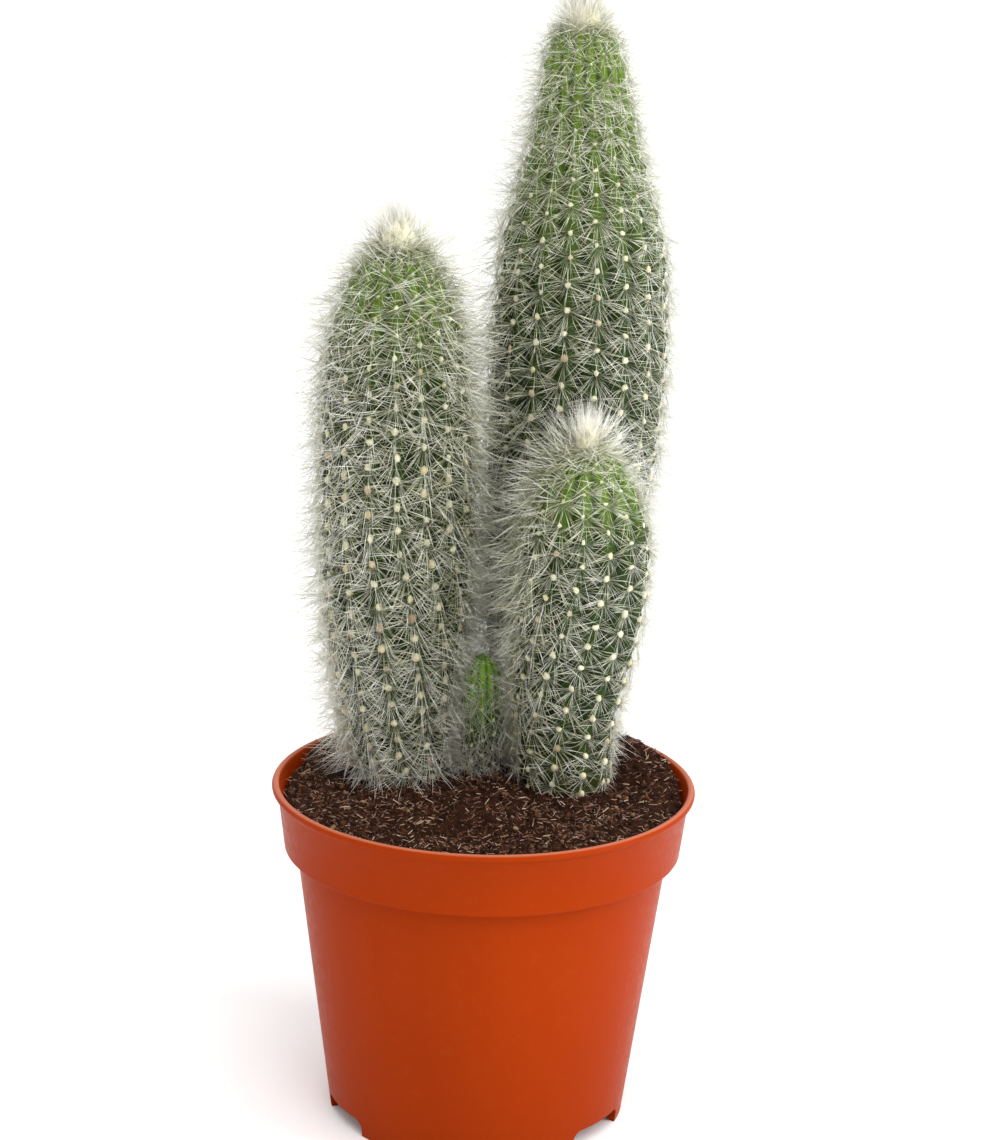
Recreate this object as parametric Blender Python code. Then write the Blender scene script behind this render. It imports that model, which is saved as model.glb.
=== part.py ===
"""Silver torch cactus in a 12 cm nursery pot: three ribbed columns and one offset, planted in peat.

The pot stands on Z = 0 with its axis on Z, and its front faces -Y. All sizes are in millimetres.
"""

import math
import random

import bmesh
import bpy
from mathutils import Vector, noise

MM = 0.001
GAP = 0.35                      # clearance between pieces that rest on each other

# Pot: one injection moulding
POT_HEIGHT = 98.0
LIP_RADIUS = 60.0               # outside of the rolled lip
LIP_BEAD = 1.15                 # half thickness of the rolled lip
BAND_BOTTOM = 79.0              # height at which the deep rim band starts
BAND_RADIUS = (56.3, 58.2)      # outside of the band, bottom and top
BAND_CORNER = 0.5
BODY_RADIUS = (42.3, 52.8)      # outside of the body, at the ground and under the band
WALL = 1.1
FOOT_WALL = 1.9                 # the skirt is thicker where it stands
FOOT_EDGE = 0.4
FLOOR = (6.4, 8.0)              # underside and top of the raised floor
FLOOR_FILLET = 1.2
POT_STEPS = 72
NOTCH_SIZE = (22.0, 5.0, 2.6)   # width, height and corner radius of each drain arch
NOTCH_ANGLES = (56, 176, 296)   # degrees from the front towards +X
HOLE_RADIUS = 4.0
HOLE_CIRCLE = 29.0
HOLE_COUNT = 6
HOLE_SIDES = 16

# Soil: a plug that fills the pot, heaped at the middle and towards the back
SOIL_LEVEL = 95.0               # mean height of the surface
SOIL_SLOPE = (0.012, 0.058)     # rise per millimetre along X and Y
SOIL_MOUND = (2.6, 30.0)        # height and spread of the heap at the middle
SOIL_DIP = (1.6, 47.0, 56.0)    # depth of the sag at the front wall, and where it starts and ends
SOIL_BANK = 101.8               # level of the bank heaped along the back wall, above the rim
BANK_DEPTH = (8.0, 30.0, 0.12)  # where it starts and is whole along Y, and its slant towards +X
BANK_REACH = (28.0, 50.0)       # the same outwards from the pot's axis
BANK_FALL = 2.4                 # how far its edge drops at the wall
SOIL_LUMPS = ((0.90, 0.11), (0.45, 0.27))   # height and frequency per millimetre of each set of lumps
SOIL_CLEARANCE = 0.45           # from the soil's side to the pot's wall
SOIL_EDGE = 55.9                # radius of the surface's edge, where the wall narrows again
SOIL_RINGS = 11
SOIL_SECTORS = 48
SOCKET_TOP = 112.0              # the socket cutters end above the surface
SOCKET_SIDES = 24

# Stems: stations of (height, centre x, centre y, radius over the ribs), from the buried end upwards.
# Turn: the ribs' angle, then how far they twist and spread by the soil, the side that they spread
# on, and the height below which they do, because a narrow foot carries fewer ribs at its front.
STEMS = {
    "stem_left": {
        "ribs": 17, "rows": 27, "turn": (-3.4, 29.0, 38.0, -100.0, 172.0),
        "apex": 250.3, "green": (0.050, 0.120, 0.035),
        "stations": (
            (79.0, -21.5, 13.5, 7.0), (88.0, -22.2, 13.3, 11.0), (97.0, -22.9, 13.2, 12.4),
            (108.0, -25.1, 13.0, 14.5), (124.0, -26.0, 13.0, 16.8), (147.0, -26.2, 13.0, 20.0),
            (172.0, -26.3, 13.0, 21.1), (200.0, -27.0, 13.0, 20.6), (217.0, -27.5, 13.0, 19.1),
            (230.0, -27.6, 13.0, 16.2), (240.0, -27.3, 13.0, 12.4), (247.5, -27.2, 13.0, 6.6),
        ),
    },
    "stem_tall": {
        "ribs": 18, "rows": 34, "turn": (-1.0, 6.0, 12.0, -90.0, 170.0),
        "apex": 308.6, "green": (0.045, 0.110, 0.030),
        "stations": (
            (79.0, 19.3, 31.2, 7.0), (88.0, 19.5, 31.8, 11.2), (97.0, 19.6, 32.4, 12.6),
            (112.0, 18.4, 34.4, 15.4), (130.0, 18.4, 36.0, 18.8), (150.0, 19.8, 36.8, 21.4),
            (172.0, 21.8, 36.6, 23.2), (196.0, 23.2, 35.4, 24.6), (216.0, 24.0, 34.9, 24.9),
            (240.0, 24.4, 34.8, 23.3), (253.0, 24.0, 34.8, 21.2), (266.0, 24.0, 35.0, 17.5),
            (278.0, 23.8, 35.0, 14.4), (290.0, 23.4, 35.0, 12.0), (300.0, 22.9, 35.0, 10.2),
            (306.2, 22.8, 35.0, 7.0),
        ),
    },
    "stem_front": {
        "ribs": 15, "rows": 20, "turn": (2.0, -30.0, 34.0, -60.0, 168.0),
        "apex": 197.3, "green": (0.050, 0.125, 0.035),
        "stations": (
            (79.0, 22.6, 7.6, 7.0), (88.0, 22.8, 7.0, 11.0), (98.0, 22.9, 6.2, 12.3),
            (112.0, 22.5, 3.6, 13.6), (127.0, 23.3, 0.4, 15.4), (142.0, 25.3, -2.4, 16.7),
            (160.0, 26.6, -4.0, 17.6), (173.0, 26.7, -4.2, 17.0), (184.0, 26.5, -4.0, 14.2),
            (191.0, 26.2, -3.8, 10.4), (195.6, 26.0, -3.7, 5.6),
        ),
    },
    "stem_offset": {
        "ribs": 12, "rows": 10, "turn": (0.0, 0.0, 0.0, -90.0, 112.0),
        "apex": 131.6, "green": (0.090, 0.270, 0.020),
        "stations": (
            (86.0, -0.6, 13.6, 3.2), (91.0, -0.6, 13.6, 5.0), (98.0, -0.6, 13.5, 5.8),
            (111.0, -0.7, 13.3, 6.2), (121.0, -1.0, 13.2, 5.9), (127.5, -1.0, 13.2, 4.6),
            (130.6, -1.0, 13.2, 2.6),
        ),
    },
}
RIB_DEPTH = 0.11                # depth of the valleys as a part of the radius
RIB_START = (90.0, 100.0)       # heights between which the ribs come up out of the soil
RIB_END = 6.0                   # distance below the apex over which they die out
STEM_TIP = 3.0                  # how far the rounded buried end reaches below its first station

# Crown bristles: stem, radius of the tuft's foot, bristle length and the lean of the outermost ones
CROWNS = {
    "crown_bristles_left": ("stem_left", 5.6, 12.5, 48.0),
    "crown_bristles_tall": ("stem_tall", 5.2, 13.0, 42.0),
    "crown_bristles_front": ("stem_front", 5.2, 13.5, 56.0),
}
CROWN_RINGS = 3
CROWN_SECTORS = 12
CROWN_RIM = 0.5                 # thickness of the cap's edge
CROWN_DOME = 1.8                # how much more it swells at the middle
BRISTLE_SPREAD = (0.72, 1.0)    # shortest and longest bristle, as a part of the length
CROWN_SEED = 11


def clear_scene():
    for old in list(bpy.data.objects):
        bpy.data.objects.remove(old, do_unlink=True)


def material(name, colour, roughness):
    made = bpy.data.materials.new(name)
    made.use_nodes = True
    shader = made.node_tree.nodes["Principled BSDF"]
    shader.inputs["Base Color"].default_value = (*colour, 1.0)
    shader.inputs["Roughness"].default_value = roughness
    return made


def add_object(name, mesh):
    made = bpy.data.objects.new(name, mesh)
    bpy.context.scene.collection.objects.link(made)
    return made


def lofted(name, rings):
    """A closed mesh through rings of points, from the lowest up; a ring of one point is a pole."""
    bm = bmesh.new()
    made = [[bm.verts.new(point * MM) for point in ring] for ring in rings]
    for low, high in zip(made, made[1:]):
        count = max(len(low), len(high))
        for i in range(count):
            j = (i + 1) % count
            if len(low) == 1:
                bm.faces.new((low[0], high[j], high[i]))
            elif len(high) == 1:
                bm.faces.new((low[i], low[j], high[0]))
            else:
                bm.faces.new((low[i], low[j], high[j], high[i]))
    if len(made[0]) > 1:
        bm.faces.new(made[0][::-1])
    if len(made[-1]) > 1:
        bm.faces.new(made[-1])
    mesh = bpy.data.meshes.new(name)
    bm.to_mesh(mesh)
    bm.free()
    mesh.shade_smooth()
    mesh.set_sharp_from_angle(angle=math.radians(40))
    return mesh


def circle(centre, radius, sides):
    """A ring of points about a centre, starting at +X and running towards +Y."""
    angles = [2 * math.pi * k / sides for k in range(sides)]
    return [centre + Vector((radius * math.cos(a), radius * math.sin(a), 0.0)) for a in angles]


def cutter(name, rings):
    made = add_object(name, lofted(name, rings))
    made.hide_render = True
    made.display_type = "WIRE"
    return made


def cut(target, tool):
    step = target.modifiers.new("cut_" + tool.name, "BOOLEAN")
    step.operation = "DIFFERENCE"
    step.solver = "EXACT"
    step.object = tool


def smooth_path(points, steps):
    """Points on a Catmull-Rom curve through the given ones, with the same number of steps in each span."""
    ends = [2 * points[0] - points[1], *points, 2 * points[-1] - points[-2]]
    path = []
    for a, b, c, d in zip(ends, ends[1:], ends[2:], ends[3:]):
        for k in range(steps):
            t = k / steps
            slope, bend, turn = c - a, 2 * a - 5 * b + 4 * c - d, 3 * b - a - 3 * c + d
            path.append(0.5 * (2 * b + slope * t + bend * t**2 + turn * t**3))
    path.append(points[-1])
    return path


def evenly_spaced(path, count):
    """count + 1 points at equal distances along the path."""
    lengths = [0.0]
    for a, b in zip(path, path[1:]):
        lengths.append(lengths[-1] + (b - a).length)
    spaced, span = [], 0
    for k in range(count + 1):
        want = lengths[-1] * k / count
        while span < len(path) - 2 and lengths[span + 1] < want:
            span += 1
        part = (want - lengths[span]) / (lengths[span + 1] - lengths[span])
        spaced.append(path[span].lerp(path[span + 1], min(part, 1.0)))
    return spaced


def fade(value, low, high):
    """0 below low, 1 above high, with a smooth change between them."""
    t = min(max((value - low) / (high - low), 0.0), 1.0)
    return t * t * (3.0 - 2.0 * t)


# ---- pot -------------------------------------------------------------------

def body_radius(z):
    """Outside of the tapered body at height z."""
    low, high = BODY_RADIUS
    return low + (high - low) * z / BAND_BOTTOM


def arc(cx, cz, radius, start, end, steps):
    angles = [math.radians(start + (end - start) * k / steps) for k in range(steps + 1)]
    return [(cx + radius * math.cos(a), cz + radius * math.sin(a)) for a in angles]


def inner_wall():
    """The pot's inside from the floor up to the lip, as (radius, height)."""
    floor_edge = body_radius(FLOOR[1]) - WALL
    return [
        (floor_edge - FLOOR_FILLET, FLOOR[1]),
        (floor_edge, FLOOR[1] + FLOOR_FILLET),
        (body_radius(BAND_BOTTOM) - WALL, BAND_BOTTOM - WALL),
        (BAND_RADIUS[0] - WALL, BAND_BOTTOM + WALL),
        (BAND_RADIUS[1] - WALL, POT_HEIGHT - 2 * LIP_BEAD),
    ]


def pot_outline():
    """Up the inside, over the lip, down the outside to the foot and in under the floor."""
    under_band = body_radius(BAND_BOTTOM)
    return [
        (0.0, FLOOR[1]),
        *inner_wall(),
        *arc(LIP_RADIUS - LIP_BEAD, POT_HEIGHT - LIP_BEAD, LIP_BEAD, 160, -70, 8),
        (BAND_RADIUS[1], POT_HEIGHT - 3 * LIP_BEAD),
        *arc(BAND_RADIUS[0] - BAND_CORNER, BAND_BOTTOM + BAND_CORNER, BAND_CORNER, 0, -90, 3),
        (under_band + BAND_CORNER, BAND_BOTTOM),
        (under_band, BAND_BOTTOM - BAND_CORNER),
        (body_radius(FOOT_EDGE), FOOT_EDGE),
        (body_radius(0.0) - FOOT_EDGE, 0.0),
        (body_radius(0.0) - FOOT_WALL, 0.0),
        (body_radius(FLOOR[0]) - FOOT_WALL, FLOOR[0]),
        (0.0, FLOOR[0]),
    ]


def turned(name, outline, steps):
    """A solid of revolution about Z; the outline runs down its outer side."""
    bm = bmesh.new()
    points = [bm.verts.new(Vector((r, 0.0, z)) * MM) for r, z in outline]
    for a, b in zip(points, points[1:]):
        bm.edges.new((a, b))
    mesh = bpy.data.meshes.new(name)
    bm.to_mesh(mesh)
    bm.free()
    made = add_object(name, mesh)
    screw = made.modifiers.new("turn", "SCREW")
    screw.steps = steps
    screw.render_steps = steps
    screw.use_merge_vertices = True
    screw.merge_threshold = 0.00001
    screw.use_smooth_shade = True
    return made


def notch_cutter(angle):
    """An arch with round upper corners, driven through the skirt from inside."""
    width, top, corner = NOTCH_SIZE
    half, below = width / 2, -top
    outline = [(half, below), *arc(half - corner, top - corner, corner, 0, 90, 4),
               *arc(corner - half, top - corner, corner, 90, 180, 4), (-half, below)]
    near, far = BODY_RADIUS[0] - half, BODY_RADIUS[0] + half
    made = cutter("notch_%d" % angle, [[Vector((x, -y, z)) for x, z in outline] for y in (near, far)])
    made.rotation_euler.z = math.radians(angle)
    return made


def hole_cutter(index):
    angle = 2 * math.pi * (index + 0.5) / HOLE_COUNT
    centre = Vector((HOLE_CIRCLE * math.cos(angle), HOLE_CIRCLE * math.sin(angle), 0.0))
    heights = (FLOOR[0] - HOLE_RADIUS, FLOOR[1] + HOLE_RADIUS)
    return cutter("hole_%d" % index,
                  [circle(centre + Vector((0.0, 0.0, z)), HOLE_RADIUS, HOLE_SIDES) for z in heights])


def make_pot():
    pot = turned("pot", pot_outline(), POT_STEPS)
    pot.data.materials.append(material("terracotta_plastic", (0.46, 0.070, 0.012), 0.38))
    for angle in NOTCH_ANGLES:
        cut(pot, notch_cutter(angle))
    for index in range(HOLE_COUNT):
        cut(pot, hole_cutter(index))


# ---- stems -----------------------------------------------------------------

def stem_sections(spec):
    """(x, y, height, radius) at even steps along a stem, from its buried tip to its apex."""
    points = [Vector((x, y, z, radius)) for z, x, y, radius in spec["stations"]]
    first, last = points[0], points[-1]
    tip = Vector((first.x, first.y, first.z - STEM_TIP, 0.0))
    apex = Vector((last.x, last.y, spec["apex"], 0.0))
    return evenly_spaced(smooth_path([tip, *points, apex], 8), spec["rows"])


def rib_angle(spec, angle, z):
    """Where a line up the stem has turned to at height z, and how far its neighbours stand apart there."""
    *turns, start = spec["turn"]
    phase, twist, spread, facing = map(math.radians, turns)
    down = max(start - z, 0.0) / (start - POT_HEIGHT)
    away = angle - facing
    return angle + phase + down * (twist + spread * math.sin(away)), 1.0 + down * spread * math.cos(away)


def rib_ring(spec, section):
    """Crests and valleys in turn round the stem at one height."""
    x, y, z, radius = section
    columns = 2 * spec["ribs"]
    depth = RIB_DEPTH * radius * fade(z, *RIB_START) * fade(spec["apex"] - z, 0.0, RIB_END)
    ring = []
    for column in range(columns):
        angle, stretch = rib_angle(spec, 2 * math.pi * column / columns, z)
        reach = radius - depth * min(stretch, 1.0) * (column % 2)
        ring.append(Vector((x + reach * math.cos(angle), y + reach * math.sin(angle), z)))
    return ring


def make_stem(name, spec):
    tip, *sections, apex = stem_sections(spec)
    rings = [[tip.to_3d()], *[rib_ring(spec, section) for section in sections], [apex.to_3d()]]
    stem = add_object(name, lofted(name, rings))
    stem.data.materials.append(material(name + "_skin", spec["green"], 0.55))


def socket_cutter(name, spec):
    """The buried end of a stem, grown by the gap and carried up through the soil's surface."""
    tip, *sections = [section for section in stem_sections(spec) if section.z < SOCKET_TOP]
    rings = [circle(section.to_3d(), section.w + GAP, SOCKET_SIDES) for section in sections]
    return cutter(name + "_socket", [[tip.to_3d() - Vector((0.0, 0.0, GAP))], *rings])


# ---- soil ------------------------------------------------------------------

def soil_height(x, y):
    mound, spread = SOIL_MOUND
    dip, start, end = SOIL_DIP
    near, far, slant = BANK_DEPTH
    reach = math.hypot(x, y)
    frontness = 0.5 - 0.5 * y / LIP_RADIUS
    level = (SOIL_LEVEL + SOIL_SLOPE[0] * x + SOIL_SLOPE[1] * y
             + mound * math.exp(-((reach / spread) ** 2)) - dip * frontness * fade(reach, start, end))
    behind = fade(y + slant * x, near, far)
    level += behind * fade(reach, *BANK_REACH) * (SOIL_BANK - level)
    level -= behind * fade(reach, BANK_REACH[1], SOIL_EDGE) * BANK_FALL
    return level + sum(high * noise.noise(Vector((x, y, 0.0)) * often) for high, often in SOIL_LUMPS)


def make_soil():
    """The top is a polar grid; below it the plug follows the inside of the pot."""
    bottom = FLOOR[1] + GAP
    side = [(radius - SOIL_CLEARANCE, max(height, bottom)) for radius, height in inner_wall()]
    rings = [[Vector((0.0, 0.0, bottom))]]
    rings += [circle(Vector((0.0, 0.0, height)), radius, SOIL_SECTORS) for radius, height in side[:-1]]
    for k in range(SOIL_RINGS, 0, -1):
        ring = circle(Vector(), SOIL_EDGE * (k / SOIL_RINGS) ** 0.85, SOIL_SECTORS)
        rings.append([Vector((p.x, p.y, soil_height(p.x, p.y))) for p in ring])
    rings.append([Vector((0.0, 0.0, soil_height(0.0, 0.0)))])
    soil = add_object("soil", lofted("soil", rings))
    soil.data.materials.append(material("peat", (0.030, 0.014, 0.007), 0.95))
    for name, spec in STEMS.items():
        cut(soil, socket_cutter(name, spec))


# ---- crown bristles --------------------------------------------------------

def apex_drop(sections, radius):
    """How far below its apex a stem's surface lies at this radius."""
    apex = sections[-1]
    for low, high in zip(sections[-2::-1], sections[:0:-1]):
        if low.w >= radius:
            part = (radius - high.w) / (low.w - high.w)
            return apex.z - (high.z + (low.z - high.z) * part)
    return apex.z - sections[0].z


def crown_cap(name, sections, foot):
    """A thin domed cap that sits on the growing point."""
    apex = sections[-1].to_3d()
    up = Vector((0.0, 0.0, 1.0))
    below, above = [[apex + up * GAP]], [[apex + up * (GAP + CROWN_RIM + CROWN_DOME)]]
    for k in range(1, CROWN_RINGS + 1):
        part = k / CROWN_RINGS
        seat = apex + up * (1.3 * GAP - apex_drop(sections, foot * part))
        swell = CROWN_RIM + CROWN_DOME * (1.0 - part)
        below.append(circle(seat, foot * part, CROWN_SECTORS))
        above.insert(0, circle(seat + up * swell, 0.96 * foot * part, CROWN_SECTORS))
    mesh = lofted(name, below + above)
    return mesh, apex * MM


def make_crown(name, stem, foot, length, lean, mat):
    """Every upper facet of the cap is drawn out to the tip of one bundle of bristles."""
    mesh, apex = crown_cap(name, stem_sections(STEMS[stem]), foot)
    chance = random.Random(CROWN_SEED)
    bm = bmesh.new()
    bm.from_mesh(mesh)
    bmesh.ops.recalc_face_normals(bm, faces=bm.faces)
    for face in [face for face in bm.faces if face.normal.z > 0.25]:
        root = face.calc_center_median()
        out = Vector((root.x - apex.x, root.y - apex.y, 0.0))
        tilt = math.radians(lean) * min(out.length / (foot * MM), 1.0)
        aim = out.normalized() * math.sin(tilt) + Vector((0.0, 0.0, math.cos(tilt)))
        tip = bmesh.ops.poke(bm, faces=[face])["verts"][0]
        tip.co = root + aim * length * chance.uniform(*BRISTLE_SPREAD) * MM
    bm.to_mesh(mesh)
    bm.free()
    mesh.materials.append(mat)
    add_object(name, mesh)


def main():
    clear_scene()
    make_pot()
    make_soil()
    for name, spec in STEMS.items():
        make_stem(name, spec)
    bristle = material("cream_bristle", (0.80, 0.76, 0.52), 0.60)
    for name, (stem, foot, length, lean) in CROWNS.items():
        make_crown(name, stem, foot, length, lean, bristle)


main()
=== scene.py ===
# Potted silver torch cactus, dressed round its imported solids. Metres, Z up, the front faces -Y.
import math
from functools import partial

import bmesh
import bpy
import numpy as np
from mathutils import Matrix, Vector, noise
from mathutils.bvhtree import BVHTree


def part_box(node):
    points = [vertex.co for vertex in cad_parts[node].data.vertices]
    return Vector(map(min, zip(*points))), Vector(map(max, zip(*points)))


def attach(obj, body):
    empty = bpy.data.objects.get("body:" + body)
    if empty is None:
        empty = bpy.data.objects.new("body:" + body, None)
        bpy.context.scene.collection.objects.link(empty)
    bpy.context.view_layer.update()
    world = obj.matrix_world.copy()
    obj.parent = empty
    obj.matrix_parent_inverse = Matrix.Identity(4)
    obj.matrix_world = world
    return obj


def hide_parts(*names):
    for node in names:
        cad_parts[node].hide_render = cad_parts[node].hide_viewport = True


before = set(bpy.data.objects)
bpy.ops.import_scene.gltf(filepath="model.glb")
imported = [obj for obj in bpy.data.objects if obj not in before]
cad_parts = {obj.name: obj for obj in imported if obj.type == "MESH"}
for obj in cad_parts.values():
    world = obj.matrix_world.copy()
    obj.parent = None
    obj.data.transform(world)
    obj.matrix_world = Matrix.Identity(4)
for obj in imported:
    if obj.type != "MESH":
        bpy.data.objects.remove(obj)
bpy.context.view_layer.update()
mm = 0.001
up = (0.0, 0.0, 1.0)


def srgb(code):
    # an sRGB hex colour as the linear colour that a shader takes
    parts = [int(code[i:i + 2], 16) / 255 for i in (1, 3, 5)]
    return (*[p / 12.92 if p <= 0.04045 else ((p + 0.055) / 1.055) ** 2.4 for p in parts], 1.0)


def addNode(tree, kind, inputs=(), **settings):
    # one node: "Math.ADD" is a Math node set to add, and "Mix.RGBA" a Mix node set to colours. Its settings
    # come first, then its inputs, in order or by name; a node given as an input lends its first output
    kind, _, mode = kind.partition(".")
    prefixes = ("ShaderNode", "GeometryNode", "FunctionNode", "")
    node = tree.nodes.new(next(start for start in prefixes if hasattr(bpy.types, start + kind)) + kind)
    if mode:
        setattr(node, "operation" if hasattr(node, "operation") else "data_type", mode)
    for name, value in settings.items():
        setattr(node, name, value)
    if isinstance(inputs, dict):
        pairs = [(node.inputs[name], value) for name, value in inputs.items()]
    else:
        pairs = zip([socket for socket in node.inputs if socket.enabled], inputs)
    for socket, value in pairs:
        if isinstance(value, bpy.types.Node):
            value = next(output for output in value.outputs if output.enabled)
        if isinstance(value, bpy.types.NodeSocket):
            tree.links.new(value, socket)
        elif value is not None:
            socket.default_value = value
    return node


def newMaterial(name):
    made = bpy.data.materials.new(name)
    made.use_nodes = True
    made.node_tree.nodes.clear()
    return made, partial(addNode, made.node_tree)


def closeMaterial(made, node, look):
    node("OutputMaterial", [node("BsdfPrincipled", look)])
    return made


def colourRamp(ramp, stops):
    # gives a ramp its stops, each a position and an sRGB colour
    made = ramp.color_ramp.elements
    for element, (position, colour) in zip((made[0], made[1]), (stops[0], stops[-1])):
        element.position, element.color = position, srgb(colour)
    for position, colour in stops[1:-1]:
        made.new(position).color = srgb(colour)
    return ramp


def addUv(node, made, tone, high, name):
    # turns copies into one mesh, and writes each copy's tone and its points' height into a UV map
    made = node("StoreNamedAttribute", [made, None, "tone", tone], domain="INSTANCE")
    made = node("RealizeInstances", [made])
    tone, turn, high = [node("InputNamedAttribute", [label]) for label in ("tone", "round", high)]
    uv = node("CombineXYZ", [node("Math.ADD", [tone, turn]), high])
    made = node("StoreNamedAttribute.FLOAT2", [made, None, name, uv], domain="CORNER")
    return made, high


def jitter(node, made, scale, detail, reach):
    # moves each point by a cloudy noise, up to about half of reach
    shift = node("TexNoise", {"Scale": scale, "Detail": detail}).outputs["Color"]
    shift = node("VectorMath.SUBTRACT", [shift, (0.5, 0.5, 0.5)])
    return node("SetPosition", [made, None, None, node("VectorMath.SCALE", [shift, reach])])


def addScaled(node, *pairs):
    # the sum of some vectors, each times its own number
    first, *others = [node("VectorMath.SCALE", list(pair)) for pair in pairs]
    for other in others:
        first = node("VectorMath.ADD", [first, other])
    return first


def newTree(name, sizes):
    # a Geometry Nodes tree that takes a mesh and these named sizes
    tree = bpy.data.node_groups.new(name, "GeometryNodeTree")
    tree.interface.new_socket("Geometry", in_out="OUTPUT", socket_type="NodeSocketGeometry")
    tree.interface.new_socket("Geometry", in_out="INPUT", socket_type="NodeSocketGeometry")
    for label, value in sizes.items():
        kind = "NodeSocketInt" if isinstance(value, int) else "NodeSocketFloat"
        tree.interface.new_socket(label, in_out="INPUT", socket_type=kind).default_value = value
    return tree, partial(addNode, tree), addNode(tree, "NodeGroupInput").outputs


def closeTree(tree, made, material, smooth=True):
    if smooth:
        made = addNode(tree, "SetShadeSmooth", [made])
    addNode(tree, "NodeGroupOutput", [addNode(tree, "SetMaterial", [made, None, material])])
    return tree


def addObject(name, data):
    made = bpy.data.objects.new(name, data)
    bpy.context.scene.collection.objects.link(made)
    return made


def finished(made):
    # the evaluated shape as a plain mesh, with its modifiers gone
    graph = bpy.context.evaluated_depsgraph_get()
    mesh = bpy.data.meshes.new_from_object(
        made.evaluated_get(graph), preserve_all_data_layers=True, depsgraph=graph)
    made.modifiers.clear()
    made.data = mesh
    mesh.name = made.name
    return made


# the trees' inputs that are set in millimetres, and in degrees
lengths = ("Length", "Wander", "Root spread", "Width", "Height", "Thickness", "Tubercle", "Wrinkle",
           "Smallest", "Largest", "Lowest")
angles = ("Lean from", "Lean to", "Fan")


def grow(name, tree, start, sizes):
    # runs a Geometry Nodes tree on a mesh and keeps what it makes
    made = addObject(name, start)
    step = made.modifiers.new(tree.name, "NODES")
    step.node_group = tree
    for item in tree.interface.items_tree:
        if item.in_out == "INPUT" and item.name in sizes:
            value = sizes[item.name]
            if item.name in lengths:
                value *= mm
            elif item.name in angles:
                value = math.radians(value)
            step[item.identifier] = value
    return finished(made)


def keep(piece, slot, *nodes):
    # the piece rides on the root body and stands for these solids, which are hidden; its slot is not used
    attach(piece, "root")
    if nodes:
        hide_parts(*nodes)
    print("made", piece.name, len(piece.data.loop_triangles) or len(piece.data.polygons), "faces")


def fade(value, low, high):
    # 0 below low, 1 above high, smooth between
    t = np.clip((value - low) / (high - low), 0.0, 1.0)
    return t * t * (3.0 - 2.0 * t)


camera = {
    "place": (0.0, -0.94206, 0.43345),
    "down": 16.16,      # degrees below the horizon
    "right": 0.187,     # degrees towards +X
    "roll": 1.502,
    "lens": 111.06,     # millimetres, on a 36 mm sensor
}


def makeCamera():
    made = addObject("camera", bpy.data.cameras.new("camera"))
    made.data.lens = camera["lens"]
    made.data.sensor_width = 36.0
    turns = ((-camera["right"], "Z"), (90.0 - camera["down"], "X"), (camera["roll"], "Z"))
    made.matrix_world = Matrix.Translation(camera["place"])
    for angle, axis in turns:
        made.matrix_world = made.matrix_world @ Matrix.Rotation(math.radians(angle), 4, axis)
    bpy.context.scene.camera = made


studio = {
    "floor": "#FEFEFE",
    "floorSize": 14.0,
    "sky": 0.74, "backdrop": 1.22,      # even light from all round, stronger behind
    "sun": 1.45,
    "sunAngle": 40.0,       # degrees across, so its shadows are soft
    "sunFrom": (14.0, 56.0),    # azimuth from the front towards +X, and height, in degrees
    "strip": (0.80, -0.30, 0.40),       # a tall soft box that draws the pot's side highlight
    "stripSize": (0.25, 0.8), "stripAim": (0.0, 0.0, 0.12), "stripWatts": 5.0,
}


def makeStudio():
    scene = bpy.context.scene
    scene.view_settings.view_transform = "Standard"
    world = bpy.data.worlds.new("studio")
    scene.world = world
    world.use_nodes = True
    world.node_tree.nodes.clear()
    node = partial(addNode, world.node_tree)
    ray = node("LightPath").outputs["Is Camera Ray"]
    behind = node("SeparateXYZ", [node("TexCoord").outputs["Generated"]]).outputs[1]
    sky = node("MapRange", [behind, -0.1, 0.8, studio["sky"], studio["backdrop"]])
    strength = node("Mix", [ray, sky, 1.0])
    node("OutputWorld", [node("Background", [(1.0, 1.0, 1.0, 1.0), strength])])

    sun = addObject("sun", bpy.data.lights.new("sun", "SUN"))
    sun.data.energy = studio["sun"]
    sun.data.angle = math.radians(studio["sunAngle"])
    side, height = map(math.radians, studio["sunFrom"])
    flat = math.cos(height)
    towards = Vector((math.sin(side) * flat, -math.cos(side) * flat, math.sin(height)))
    sun.rotation_euler = towards.to_track_quat("Z", "Y").to_euler()
    box = addObject("softbox", bpy.data.lights.new("softbox", "AREA"))
    box.data.shape = "RECTANGLE"
    box.data.size, box.data.size_y = studio["stripSize"]
    box.data.energy = studio["stripWatts"]
    box.location = studio["strip"]
    away = Vector(studio["strip"]) - Vector(studio["stripAim"])
    box.rotation_euler = away.to_track_quat("Z", "Y").to_euler()

    half = studio["floorSize"] / 2
    mesh = bpy.data.meshes.new("floor")
    corners = [(-half, -half, 0), (half, -half, 0), (half, half, 0), (-half, half, 0)]
    mesh.from_pydata(corners, [], [(0, 1, 2, 3)])
    floor = addObject("floor", mesh)
    paper, node = newMaterial("seamless_paper")     # matt studio roll, so it shows no gloss
    mesh.materials.append(closeMaterial(paper, node, {
        "Base Color": srgb(studio["floor"]), "Roughness": 0.9, "Specular IOR Level": 0.1}))


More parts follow.
